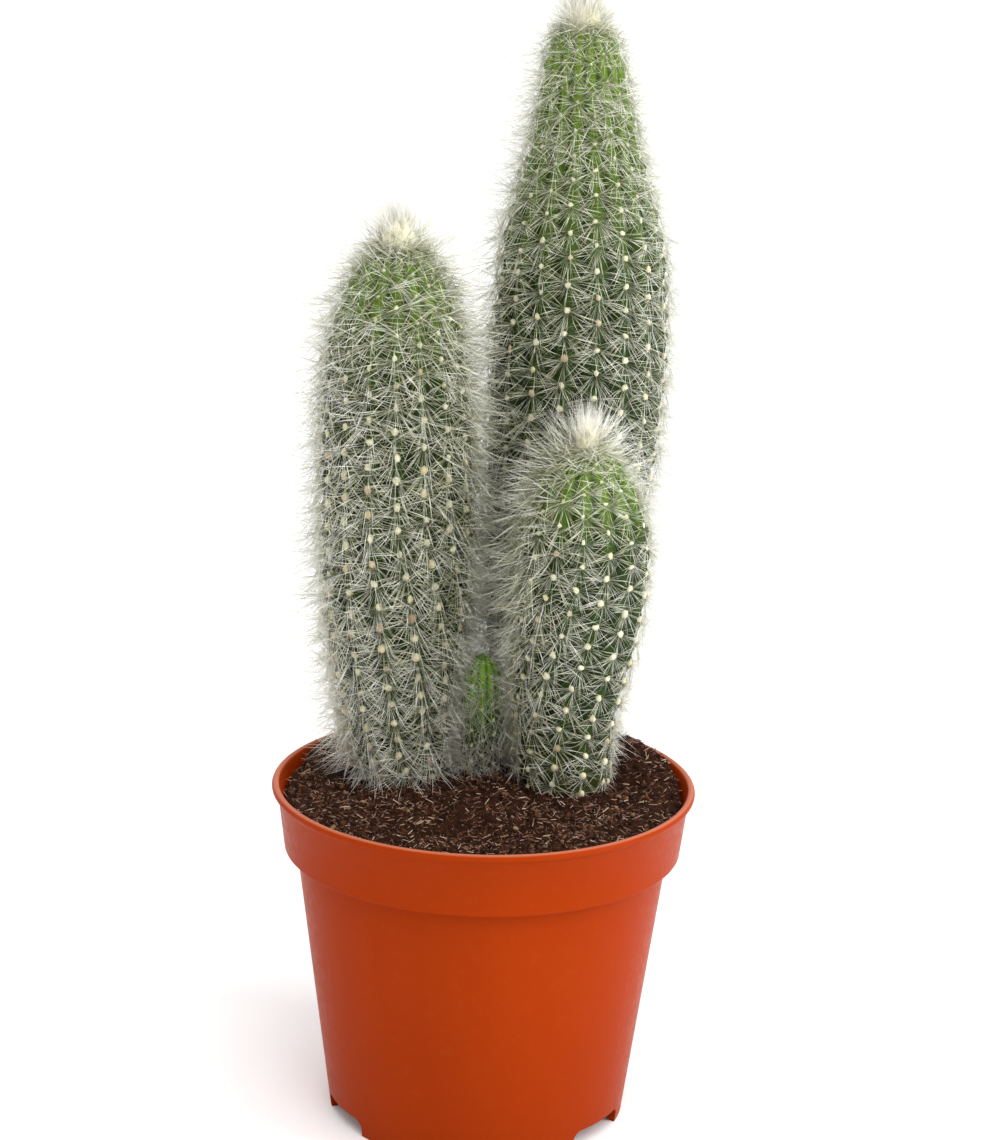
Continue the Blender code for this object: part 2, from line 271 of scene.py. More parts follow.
# The pot repeats its solid's measures, in millimetres, with finer curves
pot = {
    "height": 98.0, "lipRadius": 60.0, "lipBead": 1.15,
    "bandBottom": 79.0, "bandRadius": (56.3, 58.2), "bandCorner": 0.5,
    "bodyRadius": (42.3, 52.8), "wall": 1.1, "footWall": 1.9, "footEdge": 0.4,
    "floor": (6.4, 8.0), "floorFillet": 1.2, "steps": 192,
    "notch": (22.0, 5.0, 2.6), "notchAngles": (56, 176, 296),
    "holeRadius": 4.0, "holeCircle": 29.0, "holeCount": 6, "holeSpan": (2.0, 12.0),
    "sharp": 35.0,      # edges that turn more than these degrees stay sharp
    # edge: the colour of the painted highlight along the top of the lip
    "colour": "#9E3404", "shade": "#962F03", "scuff": "#A4400E", "edge": "#CC8468", "roughness": 0.36,
}


def arc(cx, cz, radius, start, end, steps):
    angles = np.radians(np.linspace(start, end, steps + 1))
    return [(cx + radius * math.cos(a), cz + radius * math.sin(a)) for a in angles]


def bodyRadius(z):
    low, high = pot["bodyRadius"]
    return low + (high - low) * z / pot["bandBottom"]


def potInside():
    # radius and height up the inside of the pot, from its floor to the lip
    wall, fillet, floor = pot["wall"], pot["floorFillet"], pot["floor"][1]
    edge = bodyRadius(floor) - wall
    return [*arc(edge - fillet, floor + fillet, fillet, -90, 0, 4),
            (bodyRadius(pot["bandBottom"]) - wall, pot["bandBottom"] - wall),
            (pot["bandRadius"][0] - wall, pot["bandBottom"] + wall),
            (pot["bandRadius"][1] - wall, pot["height"] - 2 * pot["lipBead"])]


def potOutline():
    bead, corner, bottom = pot["lipBead"], pot["bandCorner"], pot["bandBottom"]
    foot, under = pot["footEdge"], bodyRadius(pot["bandBottom"])
    return [(0.0, pot["floor"][1]), *potInside(),
            *arc(pot["lipRadius"] - bead, pot["height"] - bead, bead, 160, -70, 14),
            (pot["bandRadius"][1], pot["height"] - 3 * bead),
            *arc(pot["bandRadius"][0] - corner, bottom + corner, corner, 0, -90, 5),
            *arc(under + corner, bottom - corner, corner, 90, 180, 4),
            *arc(bodyRadius(foot) - foot, foot, foot, 0, -90, 4),
            (bodyRadius(0.0) - pot["footWall"], 0.0),
            (bodyRadius(pot["floor"][0]) - pot["footWall"], pot["floor"][0]), (0.0, pot["floor"][0])]


def loft(name, rings, unit=mm):
    # a closed smooth mesh through rings of points from the lowest up; a ring of one point is a pole
    points, faces, starts = [], [], []
    for ring in rings:
        starts.append(len(points))
        points.extend(ring)
    for low, high, a, b in zip(rings, rings[1:], starts, starts[1:]):
        count = max(len(low), len(high))
        for i in range(count):
            j = (i + 1) % count
            if len(low) == 1:
                faces.append((a, b + j, b + i))
            elif len(high) == 1:
                faces.append((a + i, a + j, b))
            else:
                faces.append((a + i, a + j, b + j, b + i))
    if len(rings[0]) > 1:
        faces.append(tuple(range(len(rings[0])))[::-1])
    if len(rings[-1]) > 1:
        faces.append(tuple(range(starts[-1], len(points))))
    mesh = bpy.data.meshes.new(name)
    mesh.from_pydata([Vector(point) * unit for point in points], [], faces)
    mesh.shade_smooth()
    return mesh


def ringOf(cx, cy, z, radius, sides):
    angles = [2 * math.pi * k / sides for k in range(sides)]
    return [(cx + radius * math.cos(a), cy + radius * math.sin(a), z) for a in angles]


def potPlastic():
    # Injection-moulded polypropylene: satin, with the faint flow mottle and fine skin of the mould
    made, node = newMaterial("moulded_polypropylene")
    place = node("TexCoord").outputs["Object"]
    drawn = node("Mapping", [place, None, None, (1.0, 1.0, 0.22)])
    flow = node("TexNoise", {"Vector": drawn, "Scale": 55.0, "Detail": 3.0})     # 18 mm wide flow bands
    skin = node("TexNoise", {"Vector": place, "Scale": 2600.0, "Detail": 2.0})   # 0.4 mm mould grain
    dust = node("TexNoise", {"Vector": place, "Scale": 420.0, "Detail": 6.0})    # 2.4 mm scuffs and dust
    height = node("SeparateXYZ", [place]).outputs[2]
    tone = node("Mix.RGBA", [flow, srgb(pot["shade"]), srgb(pot["colour"])])
    worn = node("MapRange", [dust.outputs[0], 0.56, 0.80, 0.0, 0.35])
    tone = node("Mix.RGBA", [worn, tone, srgb(pot["scuff"])])
    low = node("MapRange", [height, 0.0, 55 * mm, 0.88, 1.0])     # painted shade: the colour darkens towards the foot
    tone = node("VectorMath.SCALE", [tone, low])
    top = pot["height"] * mm
    lipHighlight = node("MapRange", [height, top - 0.45 * mm, top - 0.1 * mm, 0.0, 0.55])       # painted highlight: a pale tint along the top of the lip in place of its gleam
    tone = node("Mix.RGBA", [lipHighlight, tone, srgb(pot["edge"])])
    gloss = node("MapRange", [dust.outputs[0], 0.3, 0.8, pot["roughness"] - 0.05, pot["roughness"] + 0.12])
    bump = node("Bump", {"Strength": 0.10, "Distance": 0.05 * mm, "Height": skin.outputs[0]})
    return closeMaterial(made, node, {
        "Base Color": tone, "Roughness": gloss, "IOR": 1.49, "Normal": bump, "Specular IOR Level": 0.032})


def makePot():
    mesh = bpy.data.meshes.new("nursery_pot")
    outline = potOutline()
    mesh.from_pydata([Vector((r, 0.0, z)) * mm for r, z in outline],
                     [(i, i + 1) for i in range(len(outline) - 1)], [])
    made = addObject("nursery_pot", mesh)
    turn = made.modifiers.new("turn", "SCREW")
    turn.steps = turn.render_steps = pot["steps"]
    turn.use_merge_vertices = True
    turn.merge_threshold = 0.01 * mm
    tools = []
    width, top, corner = pot["notch"]
    half, near = width / 2, pot["bodyRadius"][0]
    arch = [(half, -top), *arc(half - corner, top - corner, corner, 0, 90, 8),
            *arc(corner - half, top - corner, corner, 90, 180, 8), (-half, -top)]
    for angle in pot["notchAngles"]:
        ends = [[(x, -y, z) for x, z in arch] for y in (near - half, near + half)]
        tool = addObject("notch", loft("notch", ends))
        tool.rotation_euler.z = math.radians(angle)
        tools.append(tool)
    for i in range(pot["holeCount"]):
        angle = 2 * math.pi * (i + 0.5) / pot["holeCount"]
        cx, cy = pot["holeCircle"] * math.cos(angle), pot["holeCircle"] * math.sin(angle)
        rings = [ringOf(cx, cy, z, pot["holeRadius"], 32) for z in pot["holeSpan"]]
        tools.append(addObject("hole", loft("hole", rings)))
    for tool in tools:
        cut = made.modifiers.new("cut", "BOOLEAN")
        cut.operation, cut.solver, cut.object = "DIFFERENCE", "EXACT", tool
    finished(made)
    for tool in tools:
        bpy.data.objects.remove(tool)
    shape = bmesh.new()
    shape.from_mesh(made.data)
    bmesh.ops.remove_doubles(shape, verts=shape.verts, dist=0.002 * mm)
    bmesh.ops.recalc_face_normals(shape, faces=shape.faces)
    shape.to_mesh(made.data)
    shape.free()
    made.data.shade_smooth()
    made.data.set_sharp_from_angle(angle=math.radians(pot["sharp"]))
    made.data.materials.clear()
    made.data.materials.append(potPlastic())
    keep(made, "pot", "pot")


# Rib turns repeat the solids': phase, twist and spread in degrees, the side they spread on, and from what
# height. Pitch: areole spacing at the foot and higher up, in millimetres. Young from: how far up the fresh
# green starts.
stems = {
    "left": {
        "ribs": 17, "stagger": 8, "turn": (-3.4, 29.0, 38.0, -100.0, 172.0), "pitch": (5.3, 6.8),
        "young from": 0.72},
    "tall": {
        "ribs": 18, "stagger": 8, "turn": (-1.0, 6.0, 12.0, -90.0, 170.0), "pitch": (6.6, 7.1),
        "young from": 0.60},
    "front": {
        "ribs": 15, "stagger": 7, "turn": (2.0, -30.0, 34.0, -60.0, 168.0), "pitch": (6.4, 6.7),
        "young from": 0.70},
    "offset": {
        "ribs": 12, "stagger": 5, "turn": (0.0, 0.0, 0.0, -90.0, 112.0), "pitch": (4.6, 4.2),
        "young from": 0.15},
}
skin = {
    "rowStep": 1.4,         # millimetres between rings of the mesh
    "columnsPerRib": 6,
    "ribDepth": 0.11,       # part of the stem's radius
    "tubercle": 0.55,       # how far each areole's bump stands out
    "wrinkle": 0.25,
    "pitchRun": 85.0,       # the areoles' spacing changes over this much above the soil,
    "tipRun": 14.0,         # and closes up over this much below the tip
    "tipPitch": 0.40,       # to this part of it
    "ribsFrom": (90.0, 100.0), "ribsEnd": 6.0,      # ribs rise between these heights, and fade near the tip
    "woolly": 0.95,         # how white the very tip is
    "old": "#22330F", "young": "#6F921A", "fresh": "#9ADB1A",
    "valley": "#0E1507", "foot": "#4C4A22", "pale": "#546B30", "wool": "#E9E2BE",
}


def readSections(name):
    # centre, height and reach of a stem's solid at each of its rings, in metres, from the buried tip up
    points = np.array([vertex.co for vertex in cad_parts[name].data.vertices])
    points = np.unique(points.round(6), axis=0)
    points = points[np.argsort(points[:, 2])]
    sections = []
    for ring in np.split(points, np.where(np.diff(points[:, 2]) > 0.1 * mm)[0] + 1):
        x, y = ring[:, 0].mean(), ring[:, 1].mean()
        reach = 0.0
        # a circle through the rib crests, fitted again as it closes in on them
        for share in (0.90, 0.95, 0.98, 0.985, 0.99) if len(ring) > 2 else ():
            away = np.hypot(ring[:, 0] - x, ring[:, 1] - y)
            crest = ring[away > share * away.max()]
            sums = np.column_stack([2 * crest[:, :2], np.ones(len(crest))])
            x, y, rest = np.linalg.lstsq(sums, (crest[:, :2] ** 2).sum(1), rcond=None)[0]
            reach = math.sqrt(rest + x * x + y * y)
        sections.append((x, y, ring[:, 2].mean(), reach))
    return np.array(sections)


def smoothSections(sections, step):
    # a smooth curve through the sections at even steps; mirrored neighbours round its two ends
    mirror = np.array([1.0, 1.0, 1.0, -1.0])
    ends = np.vstack([sections[1] * mirror, sections, sections[-2] * mirror])
    t = np.linspace(0.0, 1.0, 16, endpoint=False)[:, None]      # 16 points along each span
    spans = [0.5 * (2 * b + (c - a) * t + (2 * a - 5 * b + 4 * c - d) * t**2
                    + (3 * b - a - 3 * c + d) * t**3)
             for a, b, c, d in zip(ends, ends[1:], ends[2:], ends[3:])]
    path = np.vstack([*spans, sections[-1:]])
    length = np.concatenate([[0.0], np.cumsum(np.linalg.norm(np.diff(path, axis=0), axis=1))])
    even = np.linspace(0.0, length[-1], int(length[-1] / step) + 1)
    return np.column_stack([np.interp(even, length, path[:, i]) for i in range(4)])


def stemCore(name, plan):
    # the stem without its ribs, with the rib and row that each point belongs to
    path = smoothSections(readSections(name), skin["rowStep"] * mm)
    x, y, z, reach = path.T
    apex, soilLine = z[-1], pot["height"] * mm
    run = np.linalg.norm(np.diff(path[:, 2:], axis=0), axis=1)
    toApex = np.concatenate([np.cumsum(run[::-1])[::-1], [0.0]])
    low, high = plan["pitch"]
    pitch = low + (high - low) * fade(z, soilLine, soilLine + skin["pitchRun"] * mm)
    closing = np.clip(toApex / (skin["tipRun"] * mm), 0.0, 1.0)
    pitch = pitch * mm * (skin["tipPitch"] + (1 - skin["tipPitch"]) * closing)
    level = np.concatenate([[0.0], np.cumsum(run / (0.5 * (pitch[1:] + pitch[:-1])))])
    ribs, columns = plan["ribs"], plan["ribs"] * skin["columnsPerRib"]
    *turns, turnTop = plan["turn"]
    phase, twist, spread, facing = map(math.radians, turns)
    across = np.arange(columns) / columns
    angle = 2 * math.pi * (across - 0.5 / ribs)
    down = np.maximum(turnTop * mm - z, 0.0) / (turnTop * mm - soilLine)
    theta = angle + phase + down[:, None] * (twist + spread * np.sin(angle - facing))
    stretch = 1.0 + down[:, None] * spread * np.cos(angle - facing)
    first, full = skin["ribsFrom"]
    ribbed = fade(z, first * mm, full * mm) * fade(apex - z, 0.0, skin["ribsEnd"] * mm)
    ribbed = ribbed[:, None] * np.minimum(stretch, 1.0)
    middle = slice(1, len(path) - 1)
    around = np.stack([x[:, None] + reach[:, None] * np.cos(theta),
                       y[:, None] + reach[:, None] * np.sin(theta),
                       z[:, None] + 0 * theta], axis=2)[middle]
    rows, rowsTop = len(around), level[-1]
    mesh = loft(name + "_core", [path[:1, :3], *around, path[-1:, :3]], 1.0)
    corners = []
    for i in range(rows + 1):       # in the order of its faces: the tip below, the rings, the tip above
        s, t = level[i] / rowsTop, level[i + 1] / rowsTop
        for j in range(columns):
            u, v = j / columns, (j + 1) / columns
            if i == 0:
                corners += [(u, s), (v, t), (u, t)]
            elif i == rows:
                corners += [(u, s), (v, s), (u, t)]
            else:
                corners += [(u, s), (v, s), (v, t), (u, t)]
    mesh.uv_layers.new(name="column").data.foreach_set("uv", np.array(corners, np.float32).ravel())
    values = {"ribPlace": np.tile(across * ribs, (rows, 1)), "rowPlace": np.repeat(level[middle], columns),
              "girth": np.repeat(reach[middle], columns),
              "ribbed": ribbed[middle], "stretch": stretch[middle]}
    for label, field in values.items():
        field = np.concatenate([[0.0], np.ravel(field), [0.0]]).astype(np.float32)
        if label == "rowPlace":
            field[-1] = rowsTop
        mesh.attributes.new(label, "FLOAT", "POINT").data.foreach_set("value", field)
    return mesh, float(rowsTop)


def skinTree(material):
    # cuts round ribs into the core and lifts a low bump under each areole
    tree, node, given = newTree("ribbed skin", {
        "Ribs": 17, "Stagger": 8, "Rib depth": 0.11, "Tubercle": 0.5 * mm, "Wrinkle": 0.2 * mm})
    names = ("ribPlace", "rowPlace", "girth", "ribbed")
    ribPlace, rowPlace, girth, ribbed = [node("InputNamedAttribute", [label]) for label in names]
    crest = node("Math.MULTIPLY", [node("Math.PINGPONG", [ribPlace, 0.5]), 2.0])
    groove = node("Math.POWER", [node("Math.SUBTRACT", [1.0, crest]), 1.8])     # crests round, grooves tight
    depth = node("Math.MULTIPLY", [given["Rib depth"], girth])
    groove = node("Math.MULTIPLY", [groove, depth])
    share = node("Math.DIVIDE", [given["Stagger"], given["Ribs"]])
    shift = node("Math.MULTIPLY", [node("Math.FLOOR", [ribPlace]), share])
    turns = node("Math.SUBTRACT", [rowPlace, shift])
    wave = node("Math.COSINE", [node("Math.MULTIPLY", [turns, 2 * math.pi])])
    swell = node("Math.MULTIPLY", [node("Math.POWER", [crest, 1.5]), given["Tubercle"]])
    lift = node("Math.MULTIPLY", [wave, swell])
    lift = node("Math.SUBTRACT", [lift, groove])
    lift = node("Math.MULTIPLY", [lift, ribbed])
    rough = node("TexNoise", {"Scale": 260.0, "Detail": 3.0})
    rough = node("Math.SUBTRACT", [rough.outputs[0], 0.5])
    lift = node("Math.MULTIPLY_ADD", [rough, given["Wrinkle"], lift])
    offset = node("VectorMath.SCALE", [node("InputNormal"), lift])
    moved = node("SetPosition", [given["Geometry"], None, None, offset])
    return closeTree(tree, node("RealizeInstances", [moved]), material)


def skinMaterial(name, youngFrom, youngTo, youngTone, woolly):
    # Waxy green epidermis: satin, paler on the crests, with painted shade darkening the grooves, fresh green
    # near the tip
    made, node = newMaterial(name)
    place = node("TexCoord").outputs["Object"]
    height = node("SeparateXYZ", [place]).outputs[2]
    ribs = node("Attribute", attribute_name="ribPlace").outputs["Fac"]
    crest = node("Math.MULTIPLY", [node("Math.PINGPONG", [ribs, 0.5]), 2.0])
    mottle = node("TexNoise", {"Vector": place, "Scale": 330.0, "Detail": 5.0})     # 3 mm patches
    pores = node("TexNoise", {"Vector": place, "Scale": 3000.0, "Detail": 2.0})     # 0.3 mm pores
    young = node("MapRange", [height, youngFrom, youngTo, 0.0, 1.0], interpolation_type="SMOOTHSTEP")
    tone = node("Mix.RGBA", [young, srgb(skin["old"]), srgb(youngTone)])
    # painted shade: the grooves are mixed towards a dark groove colour, and the crests keep the skin's tone
    for colour, *where in (
            ("pale", mottle.outputs[0], 0.35, 0.75, 0.0, 0.35), ("valley", crest, 0.0, 0.6, 0.75, 0.0),
            ("foot", height, 118 * mm, 96 * mm, 0.0, 0.45),
            ("wool", height, youngTo - 2.4 * mm, youngTo - 0.8 * mm, 0.0, woolly)):
        tone = node("Mix.RGBA", [node("MapRange", where), tone, srgb(skin[colour])])
    bump = node("Bump", {"Strength": 0.35, "Distance": 0.1 * mm, "Height": pores.outputs[0]})
    return closeMaterial(made, node, {
        "Base Color": tone, "Roughness": 0.52, "IOR": 1.42, "Normal": bump, "Specular IOR Level": 0.15})


areoleSizes = {"Ribs": 17, "Rows": 30.0, "Stagger": 8, "Lowest": 0.09, "Seed": 1}


def areoleTree():
    # one point for each areole: on every rib's crest, a row apart, and staggered from rib to rib
    tree, node, given = newTree("areoles", {**areoleSizes, "Drift": 0.05})
    count = node("Math.MULTIPLY", [node("Math.CEIL", [given["Rows"]]), given["Ribs"]])
    points = node("Points", [count])
    index = node("InputIndex")
    rib = node("Math.MODULO", [index, given["Ribs"]])
    row = node("Math.FLOOR", [node("Math.DIVIDE", [index, given["Ribs"]])])
    share = node("Math.DIVIDE", [given["Stagger"], given["Ribs"]])
    shift = node("Math.FRACT", [node("Math.MULTIPLY", [rib, share])])
    level = node("Math.ADD", [row, shift])
    place = node("CombineXYZ", [node("Math.ADD", [rib, 0.5]), level])
    drift = node("RandomValue.FLOAT_VECTOR", [(-1.0, -1.6, 0.0), (1.0, 1.6, 0.0), None, given["Seed"]])
    drift = node("VectorMath.SCALE", [drift, given["Drift"]])
    place = node("VectorMath.ADD", [place, drift])
    place = node("VectorMath.DIVIDE", [place, node("CombineXYZ", [given["Ribs"], given["Rows"], 1.0])])
    column = node("InputNamedAttribute.FLOAT_VECTOR", ["column"])
    point, outward = [
        node("SampleUVSurface.FLOAT_VECTOR", [given["Geometry"], node(field), column, place])
        for field in ("InputPosition", "InputNormal")]
    stretch = node("InputNamedAttribute", ["stretch"])
    stretch = node("SampleUVSurface", [given["Geometry"], stretch, column, place])
    points = node("SetPosition", [points, None, point])
    points = node("StoreNamedAttribute.FLOAT_VECTOR", [points, None, "outward", outward])
    part = node("Math.DIVIDE", [level, given["Rows"]])
    points = node("StoreNamedAttribute", [points, None, "level", part])
    # drop what is buried, off the stem, or on a rib squeezed until it joins its neighbour
    height = node("SeparateXYZ", [point]).outputs[2]
    buried = node("Compare.LESS_THAN", [height, given["Lowest"]])
    off = node("BooleanMath.NOT", [point.outputs["Is Valid"]])
    tight = node("Compare.LESS_THAN", [stretch, 0.55])
    joined = node("BooleanMath.AND", [tight, node("Math.MODULO", [rib, 2.0])])
    gone = node("BooleanMath.OR", [node("BooleanMath.OR", [buried, off]), joined])
    node("NodeGroupOutput", [node("DeleteGeometry", [points, gone])])
    return tree


def addAreoles(tree, node, given, areoles):
    # the areoles as points, from the same inputs as the tree that they are added to
    points = node("GeometryNodeGroup", {}, node_tree=areoles)
    for label in ("Geometry", *areoleSizes):
        tree.links.new(given[label], points.inputs[label])
    return points


felt = {
    "left": {"Width": 2.2, "Height": 2.6, "Thickness": 1.5, "Tan from": 0.62},     # tan low on the stem
    "tall": {"Width": 1.8, "Height": 2.0, "Thickness": 1.3, "Tan from": 0.35},
    "front": {"Width": 1.9, "Height": 2.1, "Thickness": 1.4, "Tan from": 0.30},
    "offset": {"Width": 1.1, "Height": 1.2, "Thickness": 0.9, "Tan from": 0.0},
    "colours": ((0.0, "#F1EDCF"), (0.45, "#E6DEB2"), (0.75, "#CFB795"), (1.0, "#AA8E6E")),
    "rim": "#C9C79A",
    "fluff": 1.3,       # how far its surface is ruffled, in millimetres
    "tip": (0.64, 0.92, 1.0, 0.35),     # from and to which part of the height pads shrink, and their sizes
}


def feltMaterial():
    # Areole felt: short matted wool, quite matt, cream with some pads gone tan
    made, node = newMaterial("areole_felt")
    u, v, _ = node("SeparateXYZ", [node("UVMap", uv_map="pad")]).outputs
    ramp = colourRamp(node("ValToRGB", [u]), felt["colours"])
    rim = node("MapRange", [v, 0.45, 0.75, 0.55, 0.0])
    tone = node("Mix.RGBA", [rim, ramp, srgb(felt["rim"])])
    return closeMaterial(made, node, {"Base Color": tone, "Roughness": 0.85, "Sheen Weight": 0.3})


def padTree(areoles, material):
    tree, node, given = newTree("areole pads", {
        **areoleSizes, "Width": 2 * mm, "Height": 2.5 * mm, "Thickness": 1 * mm, "Tan from": 0.6})
    points = addAreoles(tree, node, given, areoles)
    ball = node("MeshUVSphere", [8, 4, 0.5])
    x, _, z = node("SeparateXYZ", [node("InputPosition")]).outputs
    ball = node("StoreNamedAttribute", [ball.outputs["Mesh"], None, "high", node("Math.ADD", [z, 0.5])])
    ball = node("StoreNamedAttribute", [ball, None, "round", node("Math.MULTIPLY", [x, 0.03])])
    outward = node("InputNamedAttribute.FLOAT_VECTOR", ["outward"])
    aim = node("AxesToRotation", [outward, up], primary_axis="Z", secondary_axis="Y")
    chance = node("RandomValue.FLOAT_VECTOR", [(0.85, 0.8, 0.0), (1.15, 1.2, 1.0), None, given["Seed"]])
    wideLuck, tallLuck, toneLuck = node("SeparateXYZ", [chance]).outputs
    level = node("InputNamedAttribute", ["level"])
    tip = node("MapRange", [level, *felt["tip"]])
    size = node("CombineXYZ", [given["Width"], given["Height"], given["Thickness"]])
    size = node("VectorMath.MULTIPLY", [size, node("CombineXYZ", [wideLuck, tallLuck, wideLuck])])
    size = node("VectorMath.SCALE", [size, tip])
    made = node("InstanceOnPoints", [points, None, ball, None, None, aim, size])
    age = node("MapRange", [level, 0.0, 0.75, given["Tan from"], 0.0])
    tone = node("Math.MULTIPLY_ADD", [node("Math.POWER", [toneLuck, 3.0]), 0.75, age])     # few are tan
    tone = node("Math.MULTIPLY", [tone, tallLuck])
    made, _ = addUv(node, made, tone, "high", "pad")
    made = jitter(node, made, 900.0, 1.0, felt["fluff"] * mm)      # 1 mm locks
    return closeTree(tree, made, material)


# Bristles: inputs of their tree. Slimness is half the thickness as a part of the length. Lean is how far
# they stand off the skin, and fan how far round from straight down they spread. Above the crown level they
# gain length, lean out, thin out and turn creamy by the crown values. Trims are parts of the length.
bristles = {
    "radial": {
        "Count": 26, "Shortest": 0.4, "Slimness": 0.25 / 24, "Bend": 0.12, "Wander": 2.2,
        "Root spread": 0.7, "Lean from": 1.0, "Lean to": 15.0, "Fan": 140.0, "Palest": 0.28,
        "Greenest": 0.98, "Painted shade": 0.06, "Crown level": 0.82, "Crown gain": -0.22, "Cream": -0.08},
    "central": {
        "Count": 28, "Shortest": 0.3, "Slimness": 0.16 / 29, "Bend": 0.10, "Wander": 2.2,
        "Root spread": 0.7, "Lean from": 18.0, "Lean to": 70.0, "Fan": 125.0, "Palest": 0.34,
        "Greenest": 0.60, "Painted shade": 0.08, "Crown level": 0.82, "Crown lean": 0.45, "Crown loss": 0.85,
        "Cream": 0.06, "Open loss": 0.18},
    # each stem's own, for its radial and its central ones
    "left": ({"Length": 13.8}, {"Length": 18.56, "Foot trim": 0.12}),
    "tall": ({"Length": 11.16, "Open trim": 0.05},
             {"Length": 15.95, "Open trim": 0.05, "Foot trim": -0.5, "Back trim": 0.22}),
    "front": ({"Length": 14.4, "Open trim": 0.35}, {"Length": 18.27, "Open trim": 0.35, "Foot trim": 0.8}),
    "offset": ({"Length": 10.2, "Count": 13, "Fan": 84.0}, {"Length": 12.325, "Count": 14, "Fan": 75.0}),
    "young": {      # what the offset changes in both
        "Root spread": 0.385, "Palest": 0.26, "Greenest": 0.52, "Painted shade": 0.0, "Crown level": 0.55,
        "Crown gain": -0.3, "Crown lean": 0.3, "Crown loss": 0.7, "Cream": 0.0},
    "colours": (
        (0.0, "#9C875C"), (0.12, "#E8D48C"), (0.25, "#F8ECB4"), (0.36, "#FFFDEE"), (0.48, "#FBFADC"),
        (0.60, "#DCDCAC"), (0.72, "#A8A976"), (0.86, "#6C7244"), (1.0, "#3C4220")),
    "root": "#D9D8A8",
    "open": (-0.2, 0.5),        # open loss and trim fade out as a bristle turns to face the other stems
    "foot": (0.28, 0.58),       # foot trim fades out between these parts of the stem's height
    "back": (0.65, 1.0),        # back trim sets in as a bristle turns to face +Y
}
# Crowns: how many long hairs each areole near the tip has, their length, and the matted heart's radius and
# height. Wool stands up round the heart, and the tuft spreads.
crowns = {"left": (14, 19.0, 4.8, 6.8), "tall": (13, 18.0, 4.7, 6.2), "front": (15, 18.5, 3.5, 9.2)}
woolShare = 0.70        # the wool's length, as a share of the tuft's
wool = {
    "Count": 40, "Shortest": 0.35, "Slimness": 0.0085, "Bend": 0.06, "Upward": 2.0,
    "Lean from": 58.0, "Lean to": 88.0, "Fan": 180.0, "From level": 0.968, "Crown level": 0.97,
    "Crown lean": 0.2, "Wander": 1.0, "Root spread": 1.6, "Age": 0.0, "Palest": 0.28, "Greenest": 0.40,
}
tuft = {
    "Shortest": 0.45, "Slimness": 0.0062, "Bend": 0.14, "Upward": 0.22,
    "Lean from": 4.0, "Lean to": 82.0, "Fan": 180.0, "From level": 0.955, "Crown level": 0.97,
    "Crown lean": 0.2, "Wander": 1.6, "Root spread": 1.2, "Age": 0.0, "Palest": 0.30, "Greenest": 0.46,
}


def bristleMaterial(name, softness, depth):
    # Cactus bristle: a glassy hollow spine, so it is near white with a soft gleam, tan where it is old, and
    # dark olive where its tone carries painted shade
    made, node = newMaterial(name)
    u, v, _ = node("SeparateXYZ", [node("UVMap", uv_map="strand")]).outputs
    ramp = colourRamp(node("ValToRGB", [u]), bristles["colours"])
    root = node("MapRange", [v, 0.0, 0.30, 0.35, 0.0])
    tone = node("Mix.RGBA", [root, ramp, srgb(bristles["root"])])
    # light spreads through the neighbours, as far as depth in millimetres
    return closeMaterial(made, node, {
        "Base Color": tone, "Roughness": 0.42, "IOR": 1.5, "Subsurface Weight": softness,
        "Subsurface Radius": (1.0, 1.0, 0.8), "Subsurface Scale": depth * mm})


heart = {
    "sunk": 2.5,        # how deep it starts inside the tip, in millimetres
    "rings": 9, "sectors": 28,
    "flutes": 0.22,     # part of its radius
    "shade": "#F2E7BE", "colour": "#FFFCEC",
}


def heartMaterial():
    # Matted crown wool: soft cream fleece, combed upwards, so light sinks into it
    made, node = newMaterial("matted_wool")
    place = node("TexCoord").outputs["Object"]
    combed = node("Mapping", [place, None, None, (1.0, 1.0, 0.12)])
    locks = node("TexNoise", {"Vector": combed, "Scale": 1500.0, "Detail": 3.0})     # 0.7 mm locks
    tone = node("Mix.RGBA", [locks.outputs[0], srgb(heart["shade"]), srgb(heart["colour"])])
    bump = node("Bump", {"Strength": 0.5, "Distance": 0.3 * mm, "Height": locks.outputs[0]})
    return closeMaterial(made, node, {
        "Base Color": tone, "Roughness": 0.9, "Normal": bump, "Subsurface Weight": 1.0,
        "Subsurface Radius": (1.0, 1.0, 0.8), "Subsurface Scale": 2.5 * mm})


def makeHeart(name, stem, radius, height, material):
    # the solid middle of a crown: a small fluted brush that stands on the stem's tip
    x, y, top, _ = readSections(stem)[-1] / mm
    rings, sunk = [], heart["sunk"]
    for k in range(heart["rings"]):
        t = k / heart["rings"]
        level, reach = top - sunk + (height + sunk) * t, radius * (1.0 - t ** 2.5) ** 0.5
        ring = []
        for px, py, z in ringOf(0.0, 0.0, level, reach, heart["sectors"]):
            flute = 1.0 + heart["flutes"] * noise.noise(Vector((px, py, top + 0.2 * z)) * 1.1)
            ring.append((x + px * flute, y + py * flute, z))
        rings.append(ring)
    rings.append([(x, y, top + height)])
    made = addObject(name, loft(name, rings))
    made.data.materials.append(material)
    keep(made, "bristle")


